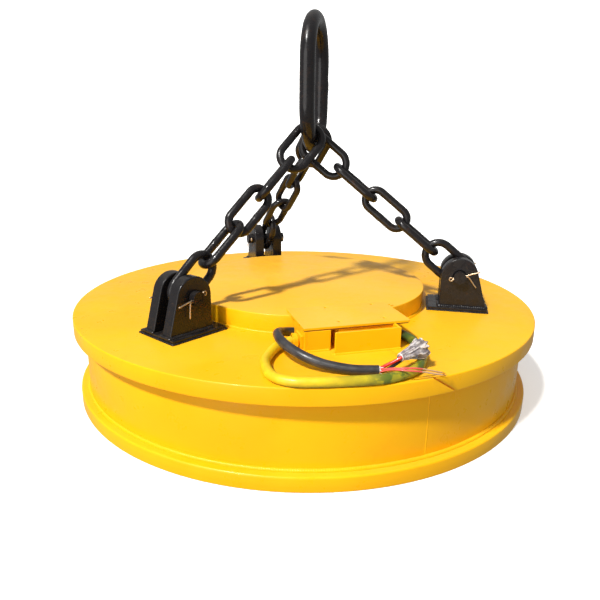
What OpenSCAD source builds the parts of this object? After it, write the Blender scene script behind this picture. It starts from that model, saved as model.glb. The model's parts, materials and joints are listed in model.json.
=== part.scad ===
// Round electromagnetic lifting magnet, hung from a three-leg chain sling and one master link.
// Millimetres, +Z up. The origin is on the floor, at the centre of the round pole face.

/* [Magnet body] */
// Diameter of the top plate
plate_d = 1100; // [1090:5:1120]
// Thickness of the top plate
plate_t = 34; // [30:1:36]
// Height from the floor to the top of the top plate
body_h = 200; // [198:1:220]
// Outer diameter of the round side wall
shell_d = 1052; // [1040:2:1060]
// Inner diameter of the round side wall
shell_bore = 952; // [950:1:960]
// Outer diameter of the pole ring at the foot
foot_d = 1092; // [1080:2:1092]
// Height of the pole ring
foot_h = 31; // [30:1:36]
// Diameter of the raised disc in the middle of the top
disc_d = 594; // [590:1:600]
// Height of the raised disc
disc_h = 40; // [40:1:41]

/* [Coil] */
// Radius of the iron core
core_r = 200; // [190:1:201]
// Height of one coil pancake
coil_h = 40; // [36:1:40]
// Outer radius of the coil
coil_r = 460; // [430:1:464]
// Thickness of one insulation disc
insulation_t = 2; // [1:0.5:2]

/* [Lugs] */
// Distance of a lug pin from the middle of the magnet
lug_r = 376; // [374:1:380]
// Height of a lug pin above the top plate
pin_z = 80; // [79:1:82]
// Diameter of a lug pin
pin_d = 28; // [26:0.5:28]
// Thickness of one lug cheek
cheek_t = 27; // [24:1:27]
// Gap between the two cheeks of a lug
cheek_gap = 28; // [28:1:30]

/* [Chain sling] */
// Thickness of the chain's round bar
bar_d = 18; // [17:0.5:18]
// Inner length of a middle link
link_p = 97; // [96:0.5:98]
// Inner width of a middle link
link_w = 30; // [29:0.5:32]
// Inner length of an end link
end_p = 101; // [100:0.5:102]
// Inner width of an end link
end_w = 42; // [42:0.5:44]
// Thickness of the master link's bar
master_bar = 34; // [30:1:34]
// Inner width of the master link
master_w = 150; // [150:1:160]
// Inner length of the master link
master_l = 240; // [230:5:360]
// Free play where one link hangs in the next
link_play = 0.8; // [0.5:0.1:1]

/* [Terminal box] */
// Thickness of the box's plates
box_wall = 5; // [4:0.5:6]
// Thickness of the lid
lid_t = 4; // [3:0.5:5]
// Outer diameter of the supply cable
cable_d = 18; // [16:0.5:18]

/* [Hidden] */
$fn = 96;
LEGS = ["right", "rear", "left"];
LEG_AZ = [-11, 109, 229];
COTTER_TILT = [15, 0, -18];

black = [0.07, 0.06, 0.06];
yellow = [0.97, 0.77, 0.08];
steel = [0.62, 0.63, 0.65];
copper = [0.72, 0.45, 0.25];

// Heights and radii inside the pot
under_plate = body_h - plate_t;
lip_h = 12;
plate_seat = 26;
lip_r = 455;
shoe_r = 225;
shoe_boss_r = 203.5;
spool_t = 3;
spool_r = 465;
former_r = core_r + 2;
coil_in = former_r + 6;
coil_z = plate_seat + 1 + spool_t;
layer = coil_h + insulation_t;
spool_top = coil_z + 3 * layer + insulation_t;
shoe_bolts = 8;
shoe_bolt_pcd = 300;
shoe_bolt_r = 15;

// Terminal box frame: x runs outward from the middle of the magnet, y runs along the box's front
box_az = -73.5;
box_front = 379;
box_back = 326;
box_left = -109;
box_right = 76;
wing_back = 305;
divider_y = -57;
slot_w = 16;
set_back = 3.5;
box_h = disc_h;
guard_out = 26;
gasket_t = 3;
lid_back = 250;
lid_left = -111;
lid_right = 108;
lid_z = body_h + box_h + gasket_t;
LID_SCREWS = [[262, -31], [262, 73], [354, -33], [354, 62]];
PLUG_AT = [257, 118];
LEADS_AT = [[352, -6], [352, 34]];
lead_r = 8;
gland_x = 352;
gland_z = 16;
gland_len = 18;
gland_r = 11.5;
strap_r = 14;
strap_foot = 26;
clamp_screw_y = 20;

// Lug shape
cheek_out = cheek_gap / 2 + cheek_t;
pad_t = 8;
pad_in = 67;
pad_half = 55;
cheek_r = 42;
cheek_foot = 64;
pin_proud = 15;
pin_half = cheek_out + pin_proud;
pin_fit = 0.05;
cotter_at = cheek_out + 7.5;
cotter_r = 3;
wire_r = 1.6;

// Sling geometry: each leg runs from its lug pin up to the bottom bend of the master link
pin_r = pin_d / 2;
bar_r = bar_d / 2;
master_r = master_bar / 2;
bend_r = master_w / 2 + master_r;
// The master link's bottom stands a little towards the right leg, and its plane is square to that leg
master_shift = 19;
// Where the rear and left legs sit on the bottom bend, as an angle up from its lowest point
seat_angle = 38;
// The first link of those legs leans this far out of its lug's plane
first_lean = 3;
// Part of the whole twist that each of the five links takes, from the pin up
TWIST_SHARE = [0, 0.22, 0.48, 0.73, 1];
leg_twist = 46;

// Distances between the centres that one link turns about, from the pin to the master link
REACH = [end_p - pin_r - bar_r - 2 * link_play, link_p + bar_d, link_p - bar_d - 2 * link_play,
         link_p + bar_d, end_p - bar_r - master_r - 2 * link_play];
right_len = REACH[0] + REACH[1] + REACH[2] + REACH[3] + REACH[4];
master_rise = sqrt(right_len * right_len - pow(lug_r - master_shift, 2));
// Centre of the bar at the lowest point of the master link, in the frame of the right leg
MASTER_LOW = [master_shift, 0, body_h + pin_z + master_rise];

// ---------- vectors ----------
function unit(v) = v / norm(v);
function spin(v, axis, a) = v * cos(a) + cross(axis, v) * sin(a) + axis * (axis * v) * (1 - cos(a));
function outward(leg) = [cos(120 * leg), sin(120 * leg), 0];
function sideways(leg) = [-sin(120 * leg), cos(120 * leg), 0];

// ---------- legs, in a frame whose x axis points at the right lug ----------
function pin_point(leg) = outward(leg) * lug_r + [0, 0, body_h + pin_z];
function seat_side(leg) = leg == 0 ? 0 : (leg == 1 ? 1 : -1);
function seat_turn(leg) = seat_side(leg) * seat_angle;
function seat_point(leg) =
    MASTER_LOW + [0, bend_r * sin(seat_turn(leg)), bend_r * (1 - cos(seat_turn(leg)))];
function seat_run(leg) = [0, cos(seat_turn(leg)), sin(seat_turn(leg))];
// Where the middle of the top link's bar rests, beyond the master link's bar
function crown_point(leg, u) =
    seat_point(leg) + unit(u - seat_run(leg) * (u * seat_run(leg))) * (master_r + bar_r + link_play);
function rise_of(v) = atan2(v[2], norm([v[0], v[1]]));
function first_dir(leg, to) =
    let (up = rise_of(to), lean = (leg == 0 ? 0 : first_lean) * sign(to * sideways(leg)))
    cos(up) * (-cos(lean) * outward(leg) + sin(lean) * sideways(leg)) + [0, 0, sin(up)];
function second_point(leg, to) = pin_point(leg) + REACH[0] * first_dir(leg, to);
// A few repeats settle the leg's direction against its seat on the bend
function settle(leg, u, n) =
    n == 0 ? u
    : settle(leg, unit(crown_point(leg, u)
        - second_point(leg, crown_point(leg, u) - pin_point(leg))), n - 1);
function upper_dir(leg) =
    leg == 0 ? unit(MASTER_LOW - pin_point(0))
    : settle(leg, unit(seat_point(leg) - pin_point(leg)), 12);
function lower_dir(leg) =
    leg == 0 ? upper_dir(0)
    : first_dir(leg, crown_point(leg, upper_dir(leg)) - pin_point(leg));
function reach_sum(i) = i < 2 ? 0 : REACH[i - 1] + reach_sum(i - 1);
function link_dir(leg, i) = i == 1 ? lower_dir(leg) : upper_dir(leg);
// The point that link i turns about at its lower end
function link_point(leg, i) =
    i == 1 ? pin_point(leg)
    : pin_point(leg) + REACH[0] * lower_dir(leg) + reach_sum(i - 1) * upper_dir(leg);
function flat_normal(leg, i) =
    let (u = link_dir(leg, i), s = sideways(leg))
    spin(unit(s - u * (u * s)), u, seat_side(leg) * leg_twist * TWIST_SHARE[i - 1]);

// ---------- cable route, millimetres, heights above the top plate ----------
CABLE_ROUTE = [
    [-22, -374, 16], [-38, -384, 14], [-52, -402, 11], [-61, -428, 9], [-66, -460, 9], [-62, -490, 9],
    [-52, -518, 9], [-37, -535, 9], [-12, -545, 9], [18, -545, 9], [46, -543, 9], [76, -539, 9],
    [108, -534, 9], [138, -526, 9], [165, -512, 9], [188, -494, 9], [203, -473, 9], [213, -446, 9],
    [221, -415, 9], [222, -384, 9], [217, -353, 9], [206, -322, 9], [188, -296, 9], [164, -279, 9],
    [134, -279, 9], [100, -293, 9], [62, -303, 9], [22, -309, 9], [-8, -309, 10], [-26, -316, 13],
    [-39, -331, 18], [-46, -353, 25], [-48, -383, 32], [-41, -416, 33], [-28, -442, 31], [-10, -462, 27],
    [12, -476, 21], [42, -485, 14], [86, -492, 9], [130, -493, 9]];
RED_ROUTE = [[131, -492, 11], [139, -488, 14], [150, -486, 19], [160, -485, 24], [168, -484, 29]];
BLACK_ROUTE = [[131, -495, 7], [141, -492, 9], [151, -487, 12], [162, -481, 17], [173, -477, 23]];
WIRE_ROUTES = [
    [[131, -494, 11], [142, -500, 15], [154, -507, 19], [170, -513, 22], [187, -512, 22], [205, -504, 17],
     [224, -495, 10], [239, -487, 4]],
    [[131, -497, 8], [142, -504, 14], [154, -512, 19], [169, -519, 21], [186, -519, 20], [204, -511, 15],
     [222, -503, 9], [238, -496, 4]]];
core_d = 6;
wire_d = 3;
WRAP_FROM = [166, -480, 27];
WRAP_TO = [211, -452, 36];

// A smooth curve through the points of a route
function ghost(r, i) =
    i < 0 ? 2 * r[0] - r[1] : (i >= len(r) ? 2 * r[len(r) - 1] - r[len(r) - 2] : r[i]);
function on_curve(r, i, t) =
    let (a = ghost(r, i - 1), b = ghost(r, i), c = ghost(r, i + 1), d = ghost(r, i + 2))
    0.5 * (2 * b + (c - a) * t + (2 * a - 5 * b + 4 * c - d) * t * t + (3 * b - a - 3 * c + d) * t * t * t);
function curve(r, steps) =
    concat([for (i = [0:len(r) - 2]) for (s = [0:steps - 1]) on_curve(r, i, s / steps)], [r[len(r) - 1]]);
function heading(p, i) = unit(p[min(i + 1, len(p) - 1)] - p[max(i - 1, 0)]);

module tube(route, d, steps, sides) {
    p = curve(route, steps);
    n = len(p);
    pts = [for (i = [0:n - 1])
        let (h = heading(p, i), across = unit(cross(h, [0, 0, 1])), up = cross(across, h))
        for (k = [0:sides - 1])
            p[i] + d / 2 * (cos(360 * k / sides) * across + sin(360 * k / sides) * up)];
    walls = [for (i = [0:n - 2]) for (k = [0:sides - 1])
        let (a = i * sides + k, b = i * sides + (k + 1) % sides)
        each [[a, b, a + sides], [b, b + sides, a + sides]]];
    caps = [[for (k = [sides - 1:-1:0]) k], [for (k = [0:sides - 1]) (n - 1) * sides + k]];
    polyhedron(pts, concat(walls, caps));
}

// ---------- shared shapes ----------
module ring(outer, inner, h) {
    difference() {
        cylinder(r = outer, h = h);
        translate([0, 0, -1]) cylinder(r = inner, h = h + 2);
    }
}

module in_box() {
    translate([0, 0, body_h]) rotate([0, 0, box_az]) children();
}

module slab(x0, x1, y0, y1, z0, z1) {
    translate([x0, y0, z0]) cube([x1 - x0, y1 - y0, z1 - z0]);
}

module in_lug(leg) {
    rotate([0, 0, LEG_AZ[leg]]) translate([lug_r, 0, body_h]) children();
}

// An oblong round-bar link: x is its length, y its width, and the inner length runs from 0 to p
module oblong(p, w, d) {
    mid = (w + d) / 2;
    for (end = [0, 1])
        translate([end == 0 ? w / 2 : p - w / 2, 0, 0])
            rotate([0, 0, end == 0 ? 90 : -90])
                rotate_extrude(angle = 180) translate([mid, 0]) circle(d = d, $fn = 48);
    for (side = [-1, 1])
        translate([w / 2, side * mid, 0]) rotate([0, 90, 0]) cylinder(d = d, h = p - w, $fn = 48);
}

// Puts a shape's x axis along u and its z axis along n, at point p
module placed(p, u, n) {
    w = cross(n, u);
    multmatrix([
        [u[0], w[0], n[0], p[0]],
        [u[1], w[1], n[1], p[1]],
        [u[2], w[2], n[2], p[2]],
        [0, 0, 0, 1]]) children();
}

// ---------- magnet body ----------
module foot_ring() {
    color(yellow) difference() {
        ring(foot_d / 2, lip_r, foot_h);
        translate([0, 0, lip_h]) cylinder(r = shell_bore / 2, h = foot_h);
    }
}

module outer_shell() {
    color(yellow) translate([0, 0, foot_h]) ring(shell_d / 2, shell_bore / 2, under_plate - foot_h);
}

module lead_holes(r) {
    for (at = LEADS_AT) translate([at[0], at[1], -plate_t - 1]) cylinder(r = r, h = plate_t + 2);
}

module top_plate() {
    color(yellow) difference() {
        translate([0, 0, under_plate]) cylinder(r = plate_d / 2, h = plate_t, $fn = 180);
        in_box() lead_holes(14.1);
    }
}

module centre_disc() {
    color(yellow) difference() {
        translate([0, 0, body_h]) cylinder(r = disc_d / 2, h = disc_h, $fn = 120);
        in_box() {
            for (at = [LID_SCREWS[0], LID_SCREWS[1]])
                translate([at[0], at[1], box_h - 22]) cylinder(r = 4, h = 30);
            translate([PLUG_AT[0], PLUG_AT[1], box_h - 12]) cylinder(r = 6, h = 20);
        }
    }
}

module iron_core() {
    color(steel) difference() {
        translate([0, 0, plate_seat]) cylinder(r = core_r, h = under_plate - plate_seat);
        shoe_bolt_circle() translate([0, 0, plate_seat - 1]) cylinder(r = shoe_bolt_r, h = 46);
    }
}

module shoe_bolt_circle() {
    for (k = [0:shoe_bolts - 1])
        rotate([0, 0, (k + 0.5) * 360 / shoe_bolts]) translate([shoe_bolt_pcd / 2, 0, 0]) children();
}

module pole_shoe() {
    color(steel) difference() {
        union() {
            cylinder(r = shoe_r, h = lip_h);
            translate([0, 0, lip_h]) cylinder(r = shoe_boss_r, h = plate_seat - lip_h);
        }
        shoe_bolt_circle() {
            translate([0, 0, -1]) cylinder(r = 24, h = 18);
            translate([0, 0, -1]) cylinder(r = shoe_bolt_r + 1, h = plate_seat + 2);
        }
    }
}

module pole_shoe_bolts() {
    color(steel) shoe_bolt_circle() difference() {
        union() {
            translate([0, 0, 3]) cylinder(r = 22.5, h = 14);
            translate([0, 0, 10]) cylinder(r = shoe_bolt_r, h = 58);
        }
        translate([0, 0, 2]) cylinder(r = 12.5, h = 8, $fn = 6);
    }
}

module protection_plate() {
    color(steel) translate([0, 0, lip_h]) ring(shell_bore / 2 - 0.5, shoe_boss_r + 0.5, plate_seat - lip_h);
}

// ---------- coil ----------
module pancake(i) {
    translate([0, 0, coil_z + insulation_t + i * layer]) ring(coil_r, coil_in, coil_h);
}

module coil_lower() {
    color(copper) pancake(0);
}

module coil_middle() {
    color(copper) pancake(1);
}

module coil_upper() {
    color(copper) pancake(2);
}

module insulation_discs() {
    color("khaki") difference() {
        for (i = [0:3]) translate([0, 0, coil_z + i * layer]) ring(coil_r, coil_in, insulation_t);
        in_box() translate([0, 0, spool_top - insulation_t - body_h + plate_t + 0.5]) lead_holes(lead_r);
    }
}

module coil_spool() {
    color("dimgray") difference() {
        union() {
            translate([0, 0, coil_z - spool_t]) ring(coil_in, former_r, spool_top + 2 * spool_t - coil_z);
            translate([0, 0, coil_z - spool_t]) ring(spool_r, coil_in - 1, spool_t);
            translate([0, 0, spool_top]) ring(spool_r, coil_in - 1, spool_t);
        }
        in_box() translate([0, 0, spool_top - body_h + plate_t]) lead_holes(lead_r);
    }
}

module coil_leads() {
    lead_foot = spool_top - insulation_t;
    color(copper) in_box()
        for (at = LEADS_AT)
            translate([at[0], at[1], lead_foot - body_h]) cylinder(r = lead_r, h = body_h + 30 - lead_foot);
}

module lead_bushings() {
    color("tan") in_box() for (at = LEADS_AT) translate([at[0], at[1], 0]) {
        translate([0, 0, -plate_t]) ring(14, lead_r, plate_t);
        ring(17, lead_r, 5);
    }
}

// ---------- terminal box ----------
module terminal_block() {
    color("saddlebrown") in_box() difference() {
        slab(336, 370, -22, 50, 5, 17);
        for (at = LEADS_AT) translate([at[0], at[1], 0]) cylinder(r = lead_r, h = 30);
    }
}

module lead_nuts() {
    color("goldenrod") in_box() for (at = LEADS_AT) translate([at[0], at[1], 17]) {
        ring(13, lead_r, 2);
        difference() {
            translate([0, 0, 2]) cylinder(r = 13.5, h = 8, $fn = 6);
            cylinder(r = lead_r, h = 12);
        }
    }
}

module terminal_box() {
    color(yellow) in_box() difference() {
        union() {
            slab(wing_back, box_front, box_left, box_left + box_wall, 0, box_h);
            slab(box_back, box_back + box_wall, box_left, box_right, 0, box_h);
            slab(box_front - box_wall, box_front, box_left, divider_y, 0, box_h);
            slab(box_front - set_back - box_wall, box_front - set_back, divider_y + slot_w, box_right - 1, 0, box_h);
            slab(box_back, box_front, box_right - box_wall, box_right, 0, box_h);
            slab(box_back, box_front, divider_y - box_wall, divider_y, 0, box_h - 14);
            for (at = [LID_SCREWS[2], LID_SCREWS[3]])
                slab(box_back + 1, at[0] + 9, at[1] - 9, at[1] + 10, 0, box_h);
        }
        for (at = [LID_SCREWS[2], LID_SCREWS[3]])
            translate([at[0], at[1], box_h - 18]) cylinder(r = 4, h = 30);
        translate([gland_x, box_left - 1, gland_z]) rotate([-90, 0, 0]) cylinder(r = 11, h = box_wall + 2);
    }
}

module front_guard() {
    color(yellow) in_box() {
        slab(box_front + guard_out - box_wall, box_front + guard_out, divider_y, box_right, 0, box_h + 3);
        slab(box_front, box_front + guard_out - box_wall, box_right - box_wall, box_right, 0, box_h + 3);
    }
}

module lid_outline(inset) {
    difference() {
        translate([lid_back + inset, lid_left + inset])
            square([box_front - lid_back - 2 * inset, lid_right - lid_left - 2 * inset]);
        translate([box_front, lid_right]) rotate(45) square(6 + 2 * inset, center = true);
    }
}

module lid_gasket() {
    color([0.12, 0.12, 0.12]) in_box() translate([0, 0, box_h]) difference() {
        linear_extrude(gasket_t) lid_outline(2);
        translate([0, 0, -1]) linear_extrude(gasket_t + 2) difference() {
            lid_outline(14);
            for (at = LID_SCREWS) translate(at) circle(r = 11);
        }
        for (at = LID_SCREWS) translate([at[0], at[1], -1]) cylinder(r = 4.3, h = gasket_t + 2);
    }
}

module terminal_box_lid() {
    color(yellow) in_box() translate([0, 0, box_h + gasket_t]) difference() {
        linear_extrude(lid_t) lid_outline(0);
        for (at = LID_SCREWS) translate([at[0], at[1], 0]) {
            translate([0, 0, -1]) cylinder(r = 4.2, h = lid_t + 2);
            translate([0, 0, lid_t - 3.2]) cylinder(r1 = 4.2, r2 = 7.8, h = 3.6);
        }
    }
}

module lid_screws() {
    color(black) in_box() for (at = LID_SCREWS) translate([at[0], at[1], box_h + gasket_t]) difference() {
        union() {
            translate([0, 0, -18]) cylinder(r = 3.9, h = 20);
            translate([0, 0, lid_t - 3.2]) cylinder(r1 = 3.9, r2 = 7, h = 3);
        }
        translate([0, 0, lid_t - 2.2]) cylinder(r = 2.9, h = 3, $fn = 6);
    }
}

module filler_plug() {
    color(black) in_box() translate([PLUG_AT[0], PLUG_AT[1], box_h]) difference() {
        union() {
            translate([0, 0, -11]) cylinder(r = 6, h = 11);
            cylinder(r = 8, h = 2);
        }
        translate([0, 0, -3]) cylinder(r = 3.5, h = 6, $fn = 6);
    }
}

// The gland's axis leaves the box's left wall; local x here runs out of the wall
module at_gland() {
    in_box() translate([gland_x, box_left, gland_z]) rotate([0, 0, -90]) children();
}

module gland() {
    color(yellow) at_gland() difference() {
        union() {
            slab(0, 5, -18, 18, 1 - gland_z, 13);
            rotate([0, 90, 0]) cylinder(r = gland_r, h = gland_len);
        }
        translate([-1, 0, 0]) rotate([0, 90, 0]) cylinder(r = cable_d / 2, h = gland_len + 2);
    }
}

module gland_clamp() {
    color(yellow) at_gland() translate([8, 0, 0]) difference() {
        union() {
            rotate([0, 90, 0]) cylinder(r = strap_r, h = 9);
            slab(0, 9, -strap_r, strap_r, -gland_z, 0);
            slab(0, 9, -strap_foot, strap_foot, -gland_z, 4 - gland_z);
        }
        translate([-1, 0, 0]) rotate([0, 90, 0]) cylinder(r = gland_r, h = 11);
        slab(-1, 10, -gland_r, gland_r, -gland_z - 1, 0);
        for (side = [-1, 1])
            translate([4.5, side * clamp_screw_y, -gland_z - 1]) cylinder(r = 2.5, h = 8);
    }
}

module clamp_screws() {
    color(steel) at_gland() translate([8, 0, 0]) for (side = [-1, 1])
        translate([4.5, side * clamp_screw_y, -gland_z]) {
            cylinder(r = 2.5, h = 4);
            translate([0, 0, 4]) cylinder(r = 4.6, h = 3.5, $fn = 6);
        }
}

// ---------- lugs ----------
module lug_pad(leg) {
    color(black) in_lug(leg) slab(-pad_in, pad_in, -pad_half, pad_half, 0, pad_t);
}

// Outline of one cheek: a round top about the pin, an upright inner edge and a sloping outer edge
module cheek_outline() {
    drop = pin_z - pad_t;
    far = sqrt(cheek_foot * cheek_foot + drop * drop);
    touch = 90 - atan2(cheek_foot, drop) - acos(cheek_r / far) - 90 + 2 * acos(cheek_r / far);
    circle(r = cheek_r);
    polygon([
        [-cheek_r, 0], [-cheek_r, -drop], [cheek_foot, -drop],
        cheek_r * [cos(touch), sin(touch)], [0, 0]]);
}

module lug_cheeks(leg) {
    color(black) in_lug(leg) for (side = [-1, 1])
        translate([0, side * (cheek_gap + cheek_t) / 2, pin_z]) rotate([90, 0, 0])
            difference() {
                translate([0, 0, -cheek_t / 2]) linear_extrude(cheek_t) cheek_outline();
                cylinder(r = pin_r + pin_fit, h = cheek_t + 2, center = true);
            }
}

module lug_pin(leg) {
    color(black) in_lug(leg) translate([0, 0, pin_z]) difference() {
        rotate([90, 0, 0]) cylinder(r = pin_r, h = 2 * pin_half, center = true);
        for (side = [-1, 1])
            translate([0, side * cotter_at, 0]) rotate([0, 90 - COTTER_TILT[leg], 0])
                cylinder(r = cotter_r + 0.2, h = 4 * pin_r, center = true, $fn = 32);
    }
}

// A split pin along x: an eye at the inner side, and two tails bent apart at the outer side
module split_pin() {
    translate([-pin_r - 2.5, 0, 0]) rotate([0, 90, 0]) cylinder(r = cotter_r, h = 2 * pin_r + 5, $fn = 48);
    translate([-pin_r - 6, 0, 0]) rotate([90, 0, 0])
        rotate_extrude($fn = 48) translate([4, 0]) circle(r = wire_r, $fn = 48);
    for (tail = [[1, 4, 29], [-1, 68, 34]])
        translate([pin_r + 1, 0, tail[0] * 1.1])
            rotate([0, 90 - tail[0] * tail[1], 0]) cylinder(r = wire_r, h = tail[2], $fn = 48);
}

module lug_cotters(leg) {
    color("burlywood") in_lug(leg) for (side = [-1, 1])
        translate([0, side * cotter_at, pin_z]) rotate([0, -COTTER_TILT[leg], 0]) split_pin();
}

// ---------- sling ----------
module chain_link(leg, i) {
    ends = i == 1 || i == 5;
    across = i % 2 == 0;
    start = i == 1 ? -(pin_r + link_play) : (across ? bar_r : -(bar_r + link_play));
    u = link_dir(leg, i);
    n = flat_normal(leg, i);
    color(black) rotate([0, 0, LEG_AZ[0]])
        placed(link_point(leg, i) + start * u, u, across ? cross(u, n) : n)
            oblong(ends ? end_p : link_p, ends ? end_w : link_w, bar_d);
}

module master_link() {
    color(black) rotate([0, 0, LEG_AZ[0]])
        placed(MASTER_LOW + [0, 0, master_r], [0, 0, 1], [1, 0, 0]) oblong(master_l, master_w, master_bar);
}

// ---------- supply cable ----------
module on_plate() {
    translate([0, 0, body_h]) children();
}

module cable() {
    color([0.2, 0.2, 0.12]) on_plate() tube(CABLE_ROUTE, cable_d, 1, 12);
}

module red_core() {
    color("red") on_plate() tube(RED_ROUTE, core_d, 2, 8);
}

module black_core() {
    color(black) on_plate() tube(BLACK_ROUTE, core_d, 2, 8);
}

module signal_wires() {
    color("tomato") on_plate() for (route = WIRE_ROUTES) tube(route, wire_d, 1, 8);
}

module film_wrap() {
    u = unit(WRAP_TO - WRAP_FROM);
    color([0.75, 0.75, 0.75]) on_plate() placed(WRAP_FROM, u, unit(cross(u, [0, 0, 1])))
        rotate([0, 90, 0]) cylinder(r1 = 7, r2 = 17, h = norm(WRAP_TO - WRAP_FROM));
}

foot_ring();
outer_shell();
top_plate();
centre_disc();
iron_core();
pole_shoe();
pole_shoe_bolts();
coil_lower();
coil_middle();
coil_upper();
coil_spool();
insulation_discs();
protection_plate();
coil_leads();
lead_bushings();
lead_nuts();
terminal_block();
terminal_box();
front_guard();
lid_gasket();
terminal_box_lid();
lid_screws();
filler_plug();
gland();
gland_clamp();
clamp_screws();
for (leg = [0:2]) {
    lug_pad(leg);
    lug_cheeks(leg);
    lug_pin(leg);
    lug_cotters(leg);
    for (i = [1:5])
        chain_link(leg, i);
}
master_link();
cable();
red_core();
black_core();
signal_wires();
film_wrap();
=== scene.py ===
import json
import math
import random

import bmesh
import bpy
from mathutils import Matrix, Vector, noise


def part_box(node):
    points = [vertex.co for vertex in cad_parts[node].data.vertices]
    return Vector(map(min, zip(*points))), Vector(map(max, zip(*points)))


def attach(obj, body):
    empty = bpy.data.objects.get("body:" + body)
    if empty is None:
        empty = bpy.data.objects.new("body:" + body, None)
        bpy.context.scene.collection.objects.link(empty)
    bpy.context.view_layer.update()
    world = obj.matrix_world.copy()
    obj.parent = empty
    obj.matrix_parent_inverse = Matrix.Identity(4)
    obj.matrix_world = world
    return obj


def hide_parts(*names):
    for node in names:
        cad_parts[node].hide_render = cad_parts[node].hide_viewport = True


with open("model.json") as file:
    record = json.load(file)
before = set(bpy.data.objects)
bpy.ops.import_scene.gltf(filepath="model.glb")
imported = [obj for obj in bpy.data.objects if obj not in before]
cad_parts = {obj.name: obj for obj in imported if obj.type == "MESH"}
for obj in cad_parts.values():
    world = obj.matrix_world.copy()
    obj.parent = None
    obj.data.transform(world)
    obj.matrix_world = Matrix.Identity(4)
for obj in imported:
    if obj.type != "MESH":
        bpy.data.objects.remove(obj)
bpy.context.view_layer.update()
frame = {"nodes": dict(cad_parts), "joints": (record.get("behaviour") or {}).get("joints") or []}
NODES = frame["nodes"]
JOINTS = {joint["name"]: joint for joint in frame["joints"]}
LEGS = ["right", "rear", "left"]
BODY = "magnet_body"
UP = Vector((0, 0, 1))
random.seed(7)


def shift(x, y, z):
    return Matrix.Translation((x, y, z))


def turn(degrees, axis):
    return Matrix.Rotation(math.radians(degrees), 4, axis)


# Terminal box frame: x runs outward from the middle of the magnet, y along the box's front
BOX_AZ = -73.5
PLATE_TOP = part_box("top_plate")[1].z
IN_BOX = shift(0, 0, PLATE_TOP) @ turn(BOX_AZ, "Z")


def add_object(name, data):
    obj = bpy.data.objects.new(name, data)
    bpy.context.scene.collection.objects.link(obj)
    return obj


def facing(ahead):
    """The turn of a camera or lamp that looks along a direction."""
    return ahead.to_track_quat("-Z", "Y").to_matrix().to_4x4()


# ---------------- camera
CAMERA_AT = Vector((0, -1.3796, 0.5965))
CAMERA_AHEAD = Vector((-0.00624, 0.9583, -0.2857)).normalized()
CAMERA_ROLL = -0.73
CAMERA_LENS = 33.74
SENSOR_W = 36


def make_camera():
    data = bpy.data.cameras.new("camera")
    data.lens = CAMERA_LENS
    data.sensor_width = SENSOR_W
    cam = add_object("camera", data)
    cam.matrix_world = shift(*CAMERA_AT) @ turn(CAMERA_ROLL, CAMERA_AHEAD) @ facing(CAMERA_AHEAD)
    bpy.context.scene.camera = cam


make_camera()


# ---------------- shape helpers
MERGE = 1e-6
RIGHT_ANGLE = math.radians(90)
LATHE_STEPS = 192
CORNER_STEPS = 4
BEVEL_STEPS = 3
BEVEL_ANGLE = 30
WELD_RIPPLE = 0.0045
WELD_SIDES = 10


def mesh_object(name, bm):
    mesh = bpy.data.meshes.new(name)
    bm.to_mesh(mesh)
    bm.free()
    return add_object(name, mesh)


def shaded_object(name, bm, material, angle=32):
    """A smooth-shaded object that keeps edges sharper than the angle."""
    bmesh.ops.remove_doubles(bm, verts=bm.verts, dist=MERGE)
    bmesh.ops.recalc_face_normals(bm, faces=bm.faces)
    obj = mesh_object(name, bm)
    obj.data.shade_smooth()
    obj.data.set_sharp_from_angle(angle=math.radians(angle))
    obj.data.materials.append(material)
    return obj


def finish_mesh(name, bm, body, material, angle=32):
    obj = shaded_object(name, bm, material, angle)
    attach(obj, body)
    return obj


def stands_for(piece, node):
    """The piece is shown in place of a CAD node, which is hidden."""
    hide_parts(node)
    return piece


def paint_piece(piece, node):
    stands_for(piece, node)


def polar(radius, angle):
    return radius * math.cos(angle), radius * math.sin(angle)


def circle(radius, count):
    """Corners of a regular outline about the origin, as (x, y)."""
    return [polar(radius, 2 * math.pi * k / count) for k in range(count)]


def arc(radius, start, end, steps):
    """Points of an arc about the origin, both ends included, as (x, y)."""
    return [polar(radius, start + (end - start) * k / steps) for k in range(steps + 1)]


def running_lengths(points):
    """How far along the line each of its points is."""
    lengths = [0.0]
    for a, b in zip(points, points[1:]):
        lengths.append(lengths[-1] + (b - a).length)
    return lengths


def join_rings(bm, here, there):
    """Faces between two closed rings of vertices."""
    count = len(here)
    for k in range(count):
        j = (k + 1) % count
        bm.faces.new((here[k], here[j], there[j], there[k]))


def arc_corner(before, corner, after, radius):
    """Points that round one corner of an outline with an arc of that radius."""
    a = (before - corner).normalized()
    b = (after - corner).normalized()
    half = a.angle(b) / 2
    reach = radius / math.tan(half)
    centre = corner + (a + b).normalized() * radius / math.sin(half)
    start = corner + a * reach - centre
    end = corner + b * reach - centre
    sweep_angle = start.angle_signed(end)
    points = []
    for i in range(CORNER_STEPS + 1):
        c, s = polar(1, -sweep_angle * i / CORNER_STEPS)
        points.append(centre + Vector((start.x * c - start.y * s, start.x * s + start.y * c)))
    return points


def rounded(corners):
    """A closed outline from (x, y, radius) corners."""
    points = []
    for i, (x, y, radius) in enumerate(corners):
        corner = Vector((x, y))
        if radius == 0:
            points.append(corner)
            continue
        before = Vector(corners[i - 1][:2])
        after = Vector(corners[(i + 1) % len(corners)][:2])
        points += arc_corner(before, corner, after, radius)
    return points


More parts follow.
